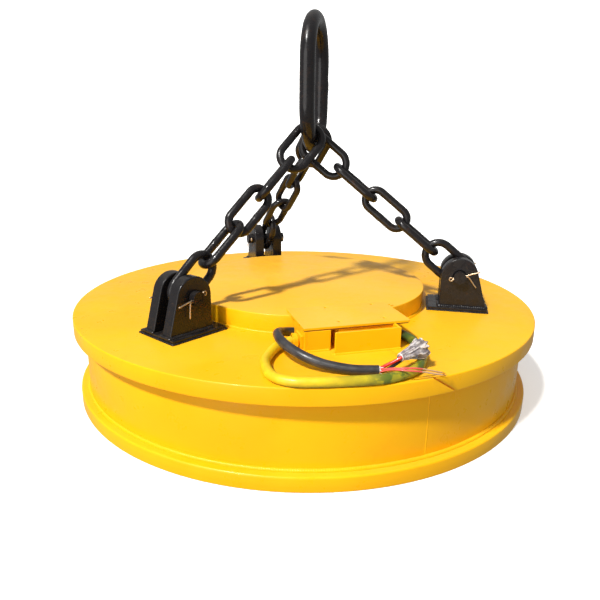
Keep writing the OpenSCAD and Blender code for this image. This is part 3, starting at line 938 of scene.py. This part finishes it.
def make_pad(leg, place):
    x, y = PAD_HALF
    pad = block(f"{leg}_pad_plate", -x, x, -y, y, 0, PAD_T, BLACK, place, bevel=0.0012)
    stands_for(pad, f"{leg}_lug_pad")
    rim = [place @ Vector((sx * (x + 0.0008), sy * (y + 0.0008), 0.0006))
           for sx, sy in ((-1, -1), (1, -1), (1, 1), (-1, 1))]
    weld(f"{leg}_pad_weld", rim, PAD_WELD, BLACK, closed=True, seed=LEGS.index(leg) + 10)


def make_cheeks(leg, place, height):
    upright = place @ turn(90, "X")
    pin_axis = upright @ shift(0, height, 0)
    for number, side in enumerate((-1, 1)):
        ends = sorted((-side * CHEEK_IN, -side * CHEEK_OUT))
        bore = cutter_cylinder(pin_axis, PIN_R + PIN_FIT, -0.06, 0.06, 64)
        cheek = prism(f"{leg}_cheek_{number + 1}", cheek_outline(height), *ends, BLACK, upright,
                      bevel=0.0026, cutters=[bore])
        stands_for(cheek, f"{leg}_lug_cheeks")
        inner = side * CHEEK_IN
        outer = side * (CHEEK_OUT + WELD_OUT)
        back = -CHEEK_R - WELD_OUT
        front = CHEEK_FOOT + WELD_OUT
        line = [place @ Vector((x, y, PAD_T))
                for x, y in ((back, inner), (back, outer), (front, outer), (front, inner))]
        weld(f"{leg}_cheek_weld_{number + 1}", line, CHEEK_WELD, BLACK, seed=LEGS.index(leg) * 2 + number)


def make_pin(leg, place, height):
    body = f"{leg}_pin"
    lying = place @ shift(0, 0, height) @ turn(90, "X")
    tilt = turn(-COTTER_TILT[leg], "Y")
    seats = [place @ shift(0, side * COTTER_AT, height) @ tilt for side in (-1, 1)]
    holes = [cutter_cylinder(seat @ turn(90, "Y"), COTTER_HOLE_R, -0.03, 0.03, 24) for seat in seats]
    pin = prism(f"{leg}_round_pin", circle(PIN_R, 64), -PIN_HALF, PIN_HALF, BLACK, lying, body,
                bevel=0.0014, cutters=holes)
    stands_for(pin, f"{leg}_lug_pin")
    for number, seat in enumerate(seats, start=1):
        line = [seat @ point for point in split_pin_line()]
        wire = sweep(f"{leg}_split_pin_{number}", line, COTTER_R, SPLIT_PIN, 12, body, round_ends=True)
        stands_for(wire, f"{leg}_lug_cotters")


def slanted(degrees):
    """The direction at that angle above the split pin's own axis."""
    x, z = polar(1, math.radians(degrees))
    return Vector((x, 0, z))


def split_pin_line():
    """One wire: in from the upper tail, round the eye, and back out to the lower tail."""
    tail_steps = 8
    shank_steps = 10
    gap = COTTER_R
    start = PIN_R + 0.002
    lean = slanted(TAIL_LEAN)
    drop = slanted(-TAIL_DROP)
    eye = Vector((-PIN_R - 0.006, 0, 0))
    shank = [start - COTTER_SHANK * k / shank_steps for k in range(shank_steps + 1)]
    points = [Vector((start, 0, gap)) + lean * COTTER_TAIL * k / tail_steps for k in range(tail_steps, 0, -1)]
    points += [Vector((x, 0, gap)) for x in shank]
    loop = arc(COTTER_EYE_R, math.radians(22), math.radians(338), 24)
    points += [eye + Vector((x, 0, z)) for x, z in loop[1:-1]]
    points += [Vector((x, 0, -gap)) for x in reversed(shank)]
    for x, z in arc(COTTER_BEND_R, RIGHT_ANGLE, RIGHT_ANGLE - math.radians(TAIL_DROP), tail_steps)[1:]:
        points.append(Vector((start + x, 0, z - gap - COTTER_BEND_R)))
    last = points[-1]
    points += [last + drop * COTTER_LOWER_TAIL * k / tail_steps for k in range(1, tail_steps + 1)]
    return points


for leg_name in LEGS:
    make_lug(leg_name)


# ---------------- chain links
SQUARE = [(i, j) for i in range(3) for j in range(3)]
JACOBI_TURNS = 30
JACOBI_END = 1e-16
BUTT_SWELL = 0.075
BUTT_GROOVE = 0.05


def solid_frame(obj):
    """Centre and axes of a symmetric node, longest first, and its size along each."""
    mesh = obj.data
    mesh.calc_loop_triangles()
    total = 0.0
    centre = Vector()
    for tri in mesh.loop_triangles:
        middle = sum((mesh.vertices[i].co for i in tri.vertices), Vector()) / 3
        centre += middle * tri.area
        total += tri.area
    centre /= total
    spread = [[0.0] * 3 for _ in range(3)]
    for tri in mesh.loop_triangles:
        corners = [mesh.vertices[i].co - centre for i in tri.vertices]
        middle = sum(corners, Vector()) / 3
        shares = [(corner, tri.area / 12) for corner in corners]
        shares.append((middle, tri.area * 9 / 12))
        for point, share in shares:
            for i, j in SQUARE:
                spread[i][j] += point[i] * point[j] * share
    axes = principal_axes(spread)
    sizes = []
    for axis in axes:
        reach = [(v.co - centre).dot(axis) for v in mesh.vertices]
        sizes.append(max(reach) - min(reach))
    order = sorted(range(3), key=lambda i: -sizes[i])
    return centre, [axes[i] for i in order], [sizes[i] for i in order]


def turned(first, second, angle):
    """A pair of numbers after a turn in their plane."""
    c, s = polar(1, angle)
    return c * first - s * second, s * first + c * second


def principal_axes(spread):
    """Directions of a symmetric 3x3 matrix by Jacobi rotations."""
    a = [list(row) for row in spread]
    v = [[float(i == j) for j in range(3)] for i in range(3)]
    for _ in range(JACOBI_TURNS):
        p, q = max(((0, 1), (0, 2), (1, 2)), key=lambda pair: abs(a[pair[0]][pair[1]]))
        if abs(a[p][q]) < JACOBI_END:
            break
        angle = 0.5 * math.atan2(2 * a[p][q], a[q][q] - a[p][p])
        for k in range(3):
            a[k][p], a[k][q] = turned(a[k][p], a[k][q], angle)
            v[k][p], v[k][q] = turned(v[k][p], v[k][q], angle)
        for k in range(3):
            a[p][k], a[q][k] = turned(a[p][k], a[q][k], angle)
    return [Vector(column).normalized() for column in zip(*v)]


def make_link(node, count=132, sides=24):
    """A round-bar link with its butt weld on one side, where the CAD link is."""
    centre, (long, wide, flat), (length, width, bar) = solid_frame(NODES[node])
    straight = (length - width) / 2
    bend = (width - bar) / 2
    outline = [(straight + x, y) for x, y in arc(bend, -RIGHT_ANGLE, RIGHT_ANGLE, 24)]
    outline += [(x - straight, y) for x, y in arc(bend, RIGHT_ANGLE, 3 * RIGHT_ANGLE, 24)]
    outline.append(outline[0])
    line = resample([centre + long * x + wide * y for x, y in outline], count + 1)[:-1]
    seed = (sum(ord(letter) for letter in node) % 17) * 1.7

    def girth(i, a):
        x = (line[i] - centre).dot(long)
        y = (line[i] - centre).dot(wide)
        collar = 0.0
        if y > 0:
            collar += BUTT_SWELL * math.exp(-(x / (bar * 0.30)) ** 2)
            collar -= BUTT_GROOVE * math.exp(-(x / (bar * 0.07)) ** 2)
        return bar / 2 * (0.994 + collar + 0.010 * noise.noise(Vector((x * 30, y * 30, a + seed))))

    link = sweep(f"{node}_bar", line, girth, CHAIN, sides, node, closed=True)
    stands_for(link, node)


for leg_name in LEGS:
    for place_in_leg in range(1, 6):
        make_link(f"{leg_name}_link_{place_in_leg}")
make_link("master_link", count=260, sides=32)


# ---------------- terminal box
BOX_WALL = 0.005
BOX_H = 0.040
BOX_FRONT = 0.379
BOX_BACK = 0.326
BOX_LEFT = -0.109
BOX_RIGHT = 0.076
BOX_WELD = 0.0028
LEFT_WALL_BACK = 0.305
LID_BACK = 0.250
LID_LEFT = -0.111
LID_RIGHT = 0.108
LID_LOW = 0.043
LID_T = 0.004
LID_CORNER_CUT = 0.00424
DIVIDER = -0.057
DIVIDER_DROP = 0.014
POST_HALF = 0.009
SLOT_W = 0.016
SET_BACK = 0.0035
GUARD = 0.026
LID_SCREWS = [(0.262, -0.031), (0.262, 0.073), (0.354, -0.033), (0.354, 0.062)]
SCREW_HOLE_R = 0.0042
SCREW_SEAT_R = 0.0078
SCREW_HEAD_R = 0.0072
SOCKET_R = 0.0031
PLUG_R = 0.0078
PLUG_AT = (0.257, 0.118)
GLAND_AT = (0.352, BOX_LEFT, 0.016)
GLAND_R = 0.0115
GLAND_L = 0.018
FLANGE_T = 0.005
FLANGE_HALF = 0.018
STRAP_R = 0.014
STRAP_FOOT = 0.026
STRAP_T = 0.004
STRAP_W = 0.009
STRAP_AT = 0.008
STRAP_GAP = 0.0001
CLAMP_SCREW_Y = 0.020
CLAMP_SCREW_R = 0.0046
CLAMP_SCREW_H = 0.0035


def make_box():
    wall = BOX_WALL
    inside = BOX_RIGHT - wall
    inner_front = BOX_FRONT - SET_BACK
    front = BOX_FRONT + GUARD
    walls = [
        ("box_left_wall", LEFT_WALL_BACK, BOX_FRONT, BOX_LEFT, BOX_LEFT + wall, BOX_H),
        ("box_back_wall", BOX_BACK, BOX_BACK + wall, BOX_LEFT + wall, BOX_RIGHT, BOX_H),
        ("box_front_wall", BOX_FRONT - wall, BOX_FRONT, BOX_LEFT + wall, DIVIDER, BOX_H),
        ("box_inner_front", inner_front - wall, inner_front, DIVIDER + SLOT_W, inside, BOX_H),
        ("box_right_wall", BOX_BACK + wall, BOX_FRONT, inside, BOX_RIGHT, BOX_H),
        ("box_divider", BOX_BACK + wall, BOX_FRONT - wall, DIVIDER - wall, DIVIDER, BOX_H - DIVIDER_DROP)]
    for number, (x, y) in enumerate(LID_SCREWS[2:], start=1):
        post = (BOX_BACK + wall, x + POST_HALF, y - POST_HALF, y + POST_HALF, BOX_H)
        walls.append((f"box_screw_post_{number}", *post))
    guard = [
        ("guard_front", front - wall, front, DIVIDER, BOX_RIGHT, LID_LOW),
        ("guard_end", BOX_FRONT, front - wall, inside, BOX_RIGHT, LID_LOW)]
    for node, plates in (("terminal_box", walls), ("front_guard", guard)):
        for name, *sides, top in plates:
            paint_piece(block(name, *sides, 0, top, YELLOW, IN_BOX), node)
    runs = [
        ("box_front_weld", (BOX_FRONT, BOX_LEFT), (BOX_FRONT, DIVIDER - 0.004)),
        ("box_left_weld", (LEFT_WALL_BACK, BOX_LEFT), (BOX_FRONT, BOX_LEFT)),
        ("guard_front_weld", (front, DIVIDER), (front, BOX_RIGHT)),
        ("guard_end_weld", (BOX_FRONT, BOX_RIGHT), (front, BOX_RIGHT))]
    for number, (name, *ends) in enumerate(runs, start=20):
        line = [IN_BOX @ Vector((x, y, 0.0004)) for x, y in ends]
        weld(name, line, BOX_WELD, YELLOW, seed=number)


def make_lid():
    cut = LID_CORNER_CUT
    outline = [(LID_BACK, LID_LEFT), (BOX_FRONT, LID_LEFT), (BOX_FRONT, LID_RIGHT - cut),
               (BOX_FRONT - cut, LID_RIGHT), (LID_BACK, LID_RIGHT)]
    top = LID_LOW + LID_T
    places = [IN_BOX @ shift(*at, 0) for at in LID_SCREWS]
    seats = []
    for place in places:
        seats.append(cutter_cylinder(place, SCREW_HOLE_R, LID_LOW - 0.001, top + 0.001, 40))
        seats.append(cutter_cylinder(place, SCREW_HOLE_R, top - 0.0032, top + 0.0004, 40, SCREW_SEAT_R))
    lid = prism("box_lid", outline, LID_LOW, top, YELLOW_DISC, IN_BOX, bevel=0.0007, cutters=seats)
    paint_piece(lid, "terminal_box_lid")
    for number, place in enumerate(places, start=1):
        make_socket_screw(f"lid_screw_{number}", place, SCREW_HEAD_R, top - 0.0002, "lid_screws")
    make_socket_screw("disc_plug", IN_BOX @ shift(*PLUG_AT, 0), PLUG_R, BOX_H + 0.0018, "filler_plug")


def make_socket_screw(name, place, radius, top, node):
    """A painted flush head with a hexagon socket whose floor is dark steel, dark partly as painted shade in
    the recess.
    """
    socket = cutter_cylinder(place, SOCKET_R, top - 0.0022, top + 0.002, 6)
    head = prism(name, circle(radius, 48), top - 0.0026, top, YELLOW_DISC, place,
                 bevel=0.0005, cutters=[socket])
    stands_for(head, node)
    # The dark floor at the bottom of the socket is partly the screw's own steel and partly painted shade in
    # the recess.
    hexagon = circle(SOCKET_R - 0.00005, 6)
    floor = prism(f"{name}_socket_floor", hexagon, top - 0.0025, top - 0.0016, DARK_STEEL, place, bevel=0)


def make_gland():
    drop = GLAND_AT[2]
    at = IN_BOX @ shift(*GLAND_AT) @ turn(-90, "Z")
    along = at @ turn(90, "Y")

    def cable_bore():
        return cutter_cylinder(along, CABLE_D / 2 + 0.0002, -0.01, 0.04, 48)

    flange = block("gland_flange", 0, FLANGE_T, -FLANGE_HALF, FLANGE_HALF, 0.001 - drop, 0.013, YELLOW, at,
                   cutters=[cable_bore()])
    paint_piece(flange, "gland")
    barrel = prism("gland_barrel", circle(GLAND_R, 48), FLANGE_T, GLAND_L, YELLOW, along, bevel=0.001,
                   cutters=[cable_bore()])
    paint_piece(barrel, "gland")
    make_strap(at @ shift(STRAP_AT, 0, 0), drop)


def make_strap(at, drop):
    """The clamp: an arch over the gland with a foot and a screw on each side."""
    inner = GLAND_R + STRAP_GAP
    step = STRAP_T - drop
    arch = [(STRAP_FOOT, -drop), (STRAP_FOOT, step), (STRAP_R, step)]
    arch += arc(STRAP_R, 0, math.pi, 24)
    arch += [(-STRAP_R, step), (-STRAP_FOOT, step), (-STRAP_FOOT, -drop), (-inner, -drop)]
    arch += arc(inner, math.pi, 0, 24)
    arch.append((inner, -drop))
    upright = at @ turn(90, "Z") @ turn(90, "X")
    strap = prism("gland_strap", arch, 0, STRAP_W, YELLOW, upright, bevel=0.0006)
    paint_piece(strap, "gland_clamp")
    for number, side in enumerate((-1, 1), start=1):
        foot = at @ shift(STRAP_W / 2, side * CLAMP_SCREW_Y, step)
        head = prism(f"strap_screw_{number}", circle(CLAMP_SCREW_R, 6), 0, CLAMP_SCREW_H, YELLOW, foot,
                     bevel=0.0006)
        stands_for(head, "clamp_screws")


make_box()
make_lid()
make_gland()


# ---------------- finishes of the carried-over pieces
FINISHES = {
    "iron_core": POLE_STEEL, "pole_shoe": POLE_STEEL, "pole_shoe_bolts": DARK_STEEL,
    "coil_lower": COIL_STRIP, "coil_middle": COIL_STRIP, "coil_upper": COIL_STRIP,
    "coil_spool": SPOOL_STEEL, "insulation_discs": GLASS_CLOTH, "protection_plate": MANGANESE,
    "coil_leads": COPPER, "lead_bushings": BUSHING, "lead_nuts": BRASS, "terminal_block": BOARD,
    "lid_gasket": GASKET_OVERSPRAY_SHADE}
for node_name, node_material in FINISHES.items():
    slots = NODES[node_name].data.materials
    slots.clear()
    slots.append(node_material)


# ---------------- floor and light
FLOOR_GAP = 0.0002
LAMP_DISTANCE = 4


def make_stage():
    """A pale round floor that curves up into a wall all round."""
    flat = 5.0
    curve = 2.5
    top = 5.5
    profile = [(0, -FLOOR_GAP), (flat / 2, -FLOOR_GAP)]
    profile += [(flat + x, curve + y - FLOOR_GAP) for x, y in arc(curve, -RIGHT_ANGLE, 0, 16)]
    profile.append((flat + curve, top - FLOOR_GAP))
    backdrop = shaded_object("studio_floor", revolve(profile, 96), FLOOR)
    backdrop.visible_shadow = False
    backdrop.visible_diffuse = False
    backdrop.visible_glossy = False


def make_sun(name, azimuth, elevation, power, spread):
    """A distant light from that direction, in degrees. A wide spread softens it."""
    level, rise = polar(1, math.radians(elevation))
    away = Vector((*polar(level, math.radians(azimuth)), rise))
    data = bpy.data.lights.new(name, "SUN")
    data.angle = math.radians(spread)
    data.energy = power
    data.color = (1.0, 0.98, 0.95)
    add_object(name, data).matrix_world = shift(*away * LAMP_DISTANCE) @ facing(-away)


def make_world(strength):
    """Even white light from all round."""
    world = bpy.data.worlds.new("studio")
    world.use_nodes = True
    background = world.node_tree.nodes["Background"]
    background.inputs["Color"].default_value = (1, 1, 1, 1)
    background.inputs["Strength"].default_value = strength
    bpy.context.scene.world = world


make_stage()
make_sun("key_light", azimuth=-130, elevation=52, power=4.3, spread=5)
make_sun("low_fill_light", azimuth=-122, elevation=6, power=1.25, spread=50)
make_world(strength=0.36)
bpy.context.scene.view_settings.view_transform = "Standard"
